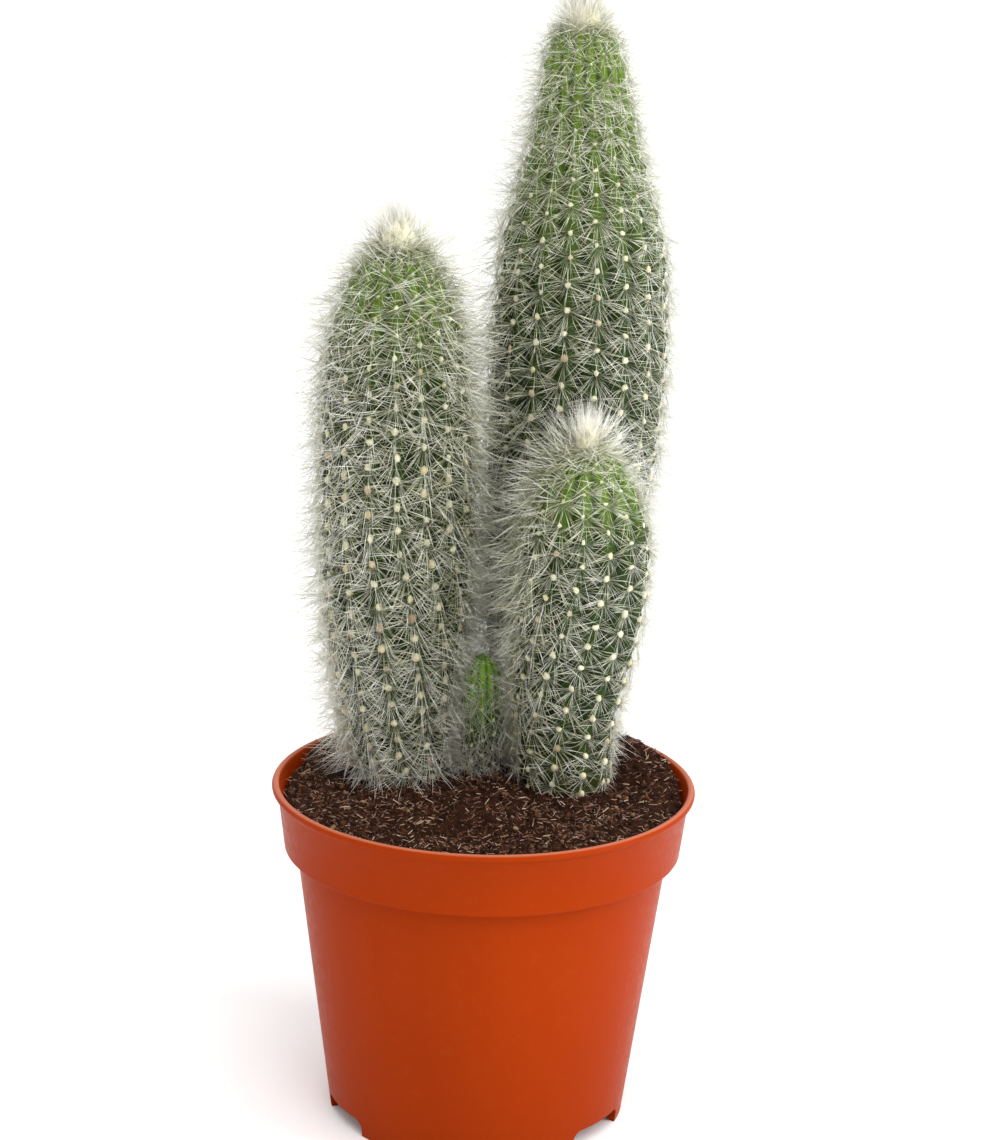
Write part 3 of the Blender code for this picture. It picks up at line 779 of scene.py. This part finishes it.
def bristleTree(areoles, material):
    tree, node, given = newTree("bristles", {
        **areoleSizes, "Count": 20, "Length": 10 * mm, "Shortest": 0.6, "Slimness": 0.011, "Bend": 0.1,
        "Lean from": 0.1, "Lean to": 0.6, "Fan": 2.8, "Root spread": 0.6 * mm, "Wander": 1.0 * mm,
        "Crown level": 0.9, "Palest": 0.4, "Greenest": 0.95, "Age": 0.15, **dict.fromkeys((
            "Upward", "From level", "Crown gain", "Crown lean", "Crown loss", "Open loss", "Open trim",
            "Foot trim", "Back trim", "Cream", "Painted shade"), 0.0)})
    points = addAreoles(tree, node, given, areoles)
    level = node("InputNamedAttribute", ["level"])
    outward = node("InputNamedAttribute.FLOAT_VECTOR", ["outward"])
    below = node("Compare.LESS_THAN", [level, given["From level"]])
    points = node("DeleteGeometry", [points, below])
    strands = node("DuplicateElements", [points, None, given["Count"]], domain="POINT")
    crown = node("MapRange", [level, given["Crown level"], 1.0, 0.0, 1.0], interpolation_type="SMOOTHSTEP")
    # facing is 1 towards the pot's axis, and so the other stems, and -1 on the open side
    axis = node("VectorMath.SCALE", [outward, -20 * mm])       # from the skin to the stem's own middle
    axis = node("VectorMath.ADD", [node("InputPosition"), axis])
    axis = node("VectorMath.MULTIPLY", [axis, (-1.0, -1.0, 0.0)])
    axis = node("VectorMath.NORMALIZE", [axis])
    facing = node("VectorMath.DOT_PRODUCT", [outward, axis]).outputs["Value"]
    paintedShadeSide = node("MapRange", [facing, -0.7, 0.8, -1.0, 1.0])
    bare = node("MapRange", [facing, *bristles["open"], 1.0, 0.0])
    bare = node("Math.MULTIPLY", [bare, node("Math.SUBTRACT", [1.0, crown])])
    loss = node("Math.MULTIPLY", [bare, given["Open loss"]])
    loss = node("Math.MULTIPLY_ADD", [crown, given["Crown loss"], loss])
    luck = node("RandomValue", [0.0, 1.0, None, given["Seed"]])
    strands = node("DeleteGeometry", [strands, node("Compare.LESS_THAN", [luck, loss])])
    # one bristle a unit long: a three-sided spindle of six faces, thickest half-way up, that bows sideways
    needle = node("MeshUVSphere", [3, 2, 1.0]).outputs["Mesh"]
    x, y, z = node("SeparateXYZ", [node("InputPosition")]).outputs
    along = node("Math.MULTIPLY_ADD", [z, 0.5, 0.5])
    bow = node("Math.MULTIPLY", [node("Math.POWER", [along, 2.0]), given["Bend"]])
    bow = node("Math.MULTIPLY_ADD", [x, given["Slimness"], bow])
    thick = node("Math.MULTIPLY", [y, given["Slimness"]])
    needle = node("StoreNamedAttribute", [needle, None, "along", along])
    # a bristle's three sides differ a little in tone
    turn = node("Math.MULTIPLY", [node("Math.MODULO", [node("InputIndex"), 3.0]), 0.006])
    needle = node("StoreNamedAttribute", [needle, None, "round", turn])
    tall = node("InputNamedAttribute", ["along"])
    needle = node("SetPosition", [needle, None, node("CombineXYZ", [bow, thick, tall])])
    # directions round the areole: side and rise lie in the skin
    side = node("VectorMath.CROSS_PRODUCT", [up, outward])
    side = node("VectorMath.NORMALIZE", [side])
    rise = node("VectorMath.CROSS_PRODUCT", [outward, side])
    later = node("Math.ADD", [given["Seed"], 1.0])
    chance = node("RandomValue.FLOAT_VECTOR", [(-1.0, 0.0, 0.0), (1.0, 1.0, 1.0), None, given["Seed"]])
    turnLuck, leanLuck, sizeLuck = node("SeparateXYZ", [chance]).outputs
    other = node("RandomValue.FLOAT_VECTOR", [(-1.0, -1.0, -1.0), (1.0, 1.0, 1.0), None, later])
    rootX, rootY, toneLuck = node("SeparateXYZ", [other]).outputs
    azimuth = node("Math.MULTIPLY", [turnLuck, given["Fan"]])
    lean = node("MapRange", [leanLuck, 0.0, 1.0, given["Lean from"], given["Lean to"]])
    lean = node("Math.MULTIPLY_ADD", [crown, given["Crown lean"], lean])
    lean = node("Clamp", [lean, 0.03, math.radians(88)])
    flat = node("Math.COSINE", [lean])
    acrossBy = node("Math.MULTIPLY", [node("Math.SINE", [azimuth]), flat])
    downBy = node("Math.MULTIPLY", [node("Math.COSINE", [azimuth]), flat])
    riseBy = node("Math.MULTIPLY", [downBy, -1.0])      # the fan opens from straight down
    outBy = node("Math.SINE", [lean])
    aim = addScaled(node, (side, acrossBy), (rise, riseBy), (outward, outBy), (up, given["Upward"]))
    # roots are scattered over the pad
    root = addScaled(node, (side, rootX), (rise, rootY))
    root = node("VectorMath.SCALE", [root, given["Root spread"]])
    strands = node("SetPosition", [strands, None, None, root])
    size = node("MapRange", [sizeLuck, 0.0, 1.0, given["Shortest"], 1.0])
    gain = node("Math.MULTIPLY_ADD", [crown, given["Crown gain"], 1.0])
    foot = node("MapRange", [level, *bristles["foot"], given["Foot trim"], 0.0])
    foot = node("Math.MULTIPLY", [foot, node("MapRange", [bare, 0.0, 1.0, 1.0, 0.4])])
    behind = node("SeparateXYZ", [outward]).outputs[1]
    behind = node("MapRange", [behind, *bristles["back"], 0.0, given["Back trim"]])
    for trim in (node("Math.MULTIPLY", [bare, given["Open trim"]]), foot, behind):
        gain = node("Math.SUBTRACT", [gain, trim])
    size = node("Math.MULTIPLY", [size, gain])
    size = node("Math.MULTIPLY", [size, given["Length"]])
    turned = node("AxesToRotation", [aim, other], primary_axis="Z", secondary_axis="X")
    made = node("InstanceOnPoints", [strands, None, needle, None, None, turned, size])
    age = node("MapRange", [level, 0.0, 0.6, given["Age"], 0.0])       # the lowest are the tannest
    under = node("Math.SUBTRACT", [node("Math.MULTIPLY", [toneLuck, 0.5]), leanLuck])
    tone = node("MapRange", [under, -1.5, 0.5, given["Palest"], given["Greenest"]])     # painted shade: strands lying low against the skin, under the others, are darker and greener; the toneLuck share is random
    tone = node("Math.SUBTRACT", [tone, age])
    # painted shade on strands that face the other stems, and painted light on those on the open side
    tone = node("Math.MULTIPLY_ADD", [paintedShadeSide, given["Painted shade"], tone])
    fresh = node("MapRange", [level, 0.7, 0.95, 0.0, given["Cream"]])
    tone = node("Math.SUBTRACT", [tone, fresh], use_clamp=True)
    made, along = addUv(node, made, tone, "along", "strand")
    # the tips wander, so that neighbours cross and clump in 5 mm locks
    reach = node("Math.MULTIPLY", [node("Math.POWER", [along, 2.0]), given["Wander"]])
    made = jitter(node, made, 190.0, 1.0, reach)
    return closeTree(tree, made, material)


def makeStems():
    areoles, matted = areoleTree(), heartMaterial()
    pads = padTree(areoles, feltMaterial())
    hairs = bristleTree(areoles, bristleMaterial("silver_bristle", 0.75, 1.2))
    fleece = bristleTree(areoles, bristleMaterial("crown_wool", 0.9, 3.0))
    line = pot["height"] * mm
    for seed, (short, plan) in enumerate(stems.items(), 1):
        small, name = short == "offset", "stem_" + short
        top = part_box(name)[1].z
        look = skinMaterial("epidermis_" + short, line + (top - line) * plan["young from"], top,
                            skin["fresh" if small else "young"], 0.0 if small else skin["woolly"])
        core, rows = stemCore(name, plan)
        shared = {"Ribs": plan["ribs"], "Rows": rows, "Stagger": plan["stagger"],
                  "Lowest": pot["height"] - 2, "Seed": 10 * seed}
        body = grow("skin_" + short, skinTree(look), core, {
            **shared, "Rib depth": skin["ribDepth"], "Wrinkle": skin["wrinkle"],
            "Tubercle": skin["tubercle"] * (0.5 if small else 1.0)})
        keep(body, "young_skin" if small else "skin", name)
        keep(grow("areoles_" + short, pads, body.data, {**shared, **felt[short]}), "bristle")
        for order, kind in enumerate(("radial", "central")):
            look = {**bristles[kind], **bristles[short][order], **(bristles["young"] if small else {})}
            made = grow("%s_bristles_%s" % (kind, short), hairs, body.data, {
                **shared, **look, "Seed": 10 * seed + 1 + 2 * order})
            keep(made, "bristle")
        if short in crowns:
            count, length, *heartSize = crowns[short]
            makeHeart("crown_heart_" + short, name, *heartSize, matted)
            made = grow("crown_wool_" + short, fleece, body.data, {
                **shared, **wool, "Seed": 10 * seed + 7, "Length": length * woolShare})
            keep(made, "bristle")
            made = grow("crown_tuft_" + short, hairs, body.data, {
                **shared, **tuft, "Seed": 10 * seed + 5, "Count": count, "Length": length})
            keep(made, "bristle", "crown_bristles_" + short)


soil = {
    "edge": 55.9, "clearance": 0.45, "rings": 46, "sectors": 168,
    "lumps": ((0.9, 0.35), (0.8, 0.8)),     # height and frequency per millimetre of the fine lumps
    "colours": ((0.30, "#170903"), (0.72, "#371C0E")), "tan": "#6E4B33",
}
# Litter: how many bits, and inputs of their tree, with colours from dark to pale
litter = {
    "peat_crumbs": {
        "material": "compost_crumb", "count": 2600, "Smallest": 0.6, "Largest": 2.4, "Seed": 3,
        "colours": (
            (0.0, "#160B05"), (0.50, "#2E1A0E"), (0.80, "#4C2D19"), (0.95, "#6E4A32"), (1.0, "#967A5E"))},
    "coir_fibres": {
        "material": "coir_fibre", "count": 10000, "Smallest": 1.5, "Largest": 4.8, "Seed": 5,
        "colours": (
            (0.0, "#1E1009"), (0.30, "#452A1E"), (0.60, "#765345"), (0.85, "#9C7C6A"), (1.0, "#C9B09A"))},
}


def soilTop():
    # finds the height of the soil's solid under a point; over a stem's socket it takes the nearest ground
    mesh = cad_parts["soil"].data
    floor = pot["height"] * mm - 10 * mm
    points = [vertex.co for vertex in mesh.vertices]
    ground = [face.vertices for face in mesh.polygons if face.normal.z > 0.7 and face.center.z > floor]
    surface = BVHTree.FromPolygons(points, ground)

    def height(x, y):
        hit = surface.ray_cast(Vector((x, y, 0.2)), Vector((0, 0, -1)))[0]
        if hit is None:
            hit = surface.find_nearest(Vector((x, y, pot["height"] * mm)))[0]
        return hit.z
    return height


def peatMaterial():
    # Peat compost: matt, nearly black when damp, with brown and tan fibre
    made, node = newMaterial("peat_compost")
    place = node("TexCoord").outputs["Object"]
    clods = node("TexNoise", {"Vector": place, "Scale": 330.0, "Detail": 8.0})      # 3 mm clods
    specks = node("TexNoise", {"Vector": place, "Scale": 1500.0, "Detail": 4.0})    # 0.7 mm specks
    ramp = colourRamp(node("ValToRGB", [clods.outputs[0]]), soil["colours"])
    tan = node("MapRange", [specks.outputs[0], 0.60, 0.72, 0.0, 0.6])
    tone = node("Mix.RGBA", [tan, ramp, srgb(soil["tan"])])
    bump = node("Bump", {"Strength": 0.9, "Distance": 0.4 * mm, "Height": specks.outputs[0]})
    return closeMaterial(made, node, {
        "Base Color": tone, "Roughness": 0.92, "Normal": bump, "Specular IOR Level": 0.1})


def litterMaterial(name, colours):
    # Compost crumb and fibre: dry, matt bits of bark, coir and moss peat, each its own brown
    made, node = newMaterial(name)
    u, v, _ = node("SeparateXYZ", [node("UVMap", uv_map="bit")]).outputs
    ramp = colourRamp(node("ValToRGB", [u]), colours)
    shade = node("MapRange", [v, 0.0, 1.0, 0.75, 1.1])
    tone = node("VectorMath.SCALE", [ramp, shade])
    return closeMaterial(made, node, {"Base Color": tone, "Roughness": 0.85, "Specular IOR Level": 0.12})


def litterTree(material, fibre):
    # scatters bits over the upward faces: lumps, or thin curved fibres that lie down
    tree, node, given = newTree("fibres" if fibre else "crumbs", {
        "Density": 500000.0, "Smallest": 0.5 * mm, "Largest": 1.8 * mm, "Seed": 1})
    height = node("SeparateXYZ", [node("InputNormal")]).outputs[2]
    lower = node("Compare.LESS_THAN", [height, 0.2])
    top = node("DeleteGeometry", [given["Geometry"], lower], domain="FACE")
    patches = node("TexNoise", {"Scale": 85.0, "Detail": 2.0})      # 12 mm patches with more or fewer
    patches = node("MapRange", [patches.outputs[0], 0.38, 0.62, 0.4, 1.45])
    often = node("Math.MULTIPLY", [given["Density"], patches])
    points = node("DistributePointsOnFaces", {"Mesh": top, "Density": often, "Seed": given["Seed"]})
    x, _, z = node("SeparateXYZ", [node("InputPosition")]).outputs
    if fibre:
        bit, high, turn = node("MeshCone", [3, 2, 1, 0.036, 0.052, 1.0]), z, 0.15
    else:
        bit, high, turn = node("MeshIcoSphere", [0.5, 1]), node("Math.ADD", [z, 0.5]), 0.04
    bit = node("StoreNamedAttribute", [bit.outputs["Mesh"], None, "high", high])
    bit = node("StoreNamedAttribute", [bit, None, "round", node("Math.MULTIPLY", [x, turn])])
    if fibre:
        off = node("Math.SUBTRACT", [z, 0.5])
        bow = node("Math.MULTIPLY", [node("Math.POWER", [off, 2.0]), -0.9])
        bit = node("SetPosition", [bit, None, None, node("CombineXYZ", [bow, 0.0, -0.5])])
    else:
        bit = jitter(node, bit, 2.2, 2.0, 0.9)
    chance = node("RandomValue.FLOAT_VECTOR", [(0.0, 0.0, 0.0), (1.0, 1.0, 1.0), None, given["Seed"]])
    sizeLuck, flatLuck, toneLuck = node("SeparateXYZ", [chance]).outputs
    other = node("RandomValue.FLOAT_VECTOR", [(-1.0, -1.0, -1.0), (1.0, 1.0, 1.0), None, 77])
    skew = node("Math.POWER", [sizeLuck, 1.4 if fibre else 2.2])     # many small bits, few large
    size = node("MapRange", [skew, 0.0, 1.0, given["Smallest"], given["Largest"]])
    if fibre:
        lying = node("VectorMath.MULTIPLY", [other, (1.0, 1.0, 0.6)])
        aim = node("AxesToRotation", [lying, up], primary_axis="Z", secondary_axis="X")
    else:
        aim = node("AxesToRotation", [other, chance], primary_axis="Z", secondary_axis="X")
        stretch = node("CombineXYZ", [1.0, node("MapRange", [flatLuck, 0.0, 1.0, 0.45, 1.0]), 0.7])
        size = node("VectorMath.SCALE", [stretch, size])
    made = node("InstanceOnPoints", [points.outputs["Points"], None, bit, None, None, aim, size])
    made, _ = addUv(node, made, toneLuck, "high", "bit")
    return closeTree(tree, made, material, fibre)


def makeSoil():
    height = soilTop()
    side = [(radius - soil["clearance"], z) for radius, z in potInside()]
    bottom = pot["floor"][1] + soil["clearance"]
    rings = [[(0.0, 0.0, bottom)]]
    rings += [ringOf(0.0, 0.0, max(z, bottom), radius, soil["sectors"]) for radius, z in side[:-1]]
    for k in range(soil["rings"], -1, -1):
        radius = soil["edge"] * k / soil["rings"]
        ring = ringOf(0.0, 0.0, 0.0, radius, soil["sectors"]) if k else [(0.0, 0.0, 0.0)]
        raised = []
        for x, y, _ in ring:
            z = height(x * mm, y * mm) / mm
            z += sum(high * noise.noise(Vector((x, y, 7.0)) * often) for high, often in soil["lumps"])
            raised.append((x, y, z))
        rings.append(raised)
    made = addObject("peat_plug", loft("peat_plug", rings))
    made.data.materials.append(peatMaterial())
    keep(made, "soil", "soil")
    area = math.pi * (soil["edge"] * mm) ** 2
    for name, plan in litter.items():
        tree = litterTree(litterMaterial(plan["material"], plan["colours"]), name == "coir_fibres")
        keep(grow(name, tree, made.data, {**plan, "Density": plan["count"] / area}), "soil")


makeCamera()
makeStudio()
print("camera and studio are set")
makePot()
makeSoil()
makeStems()
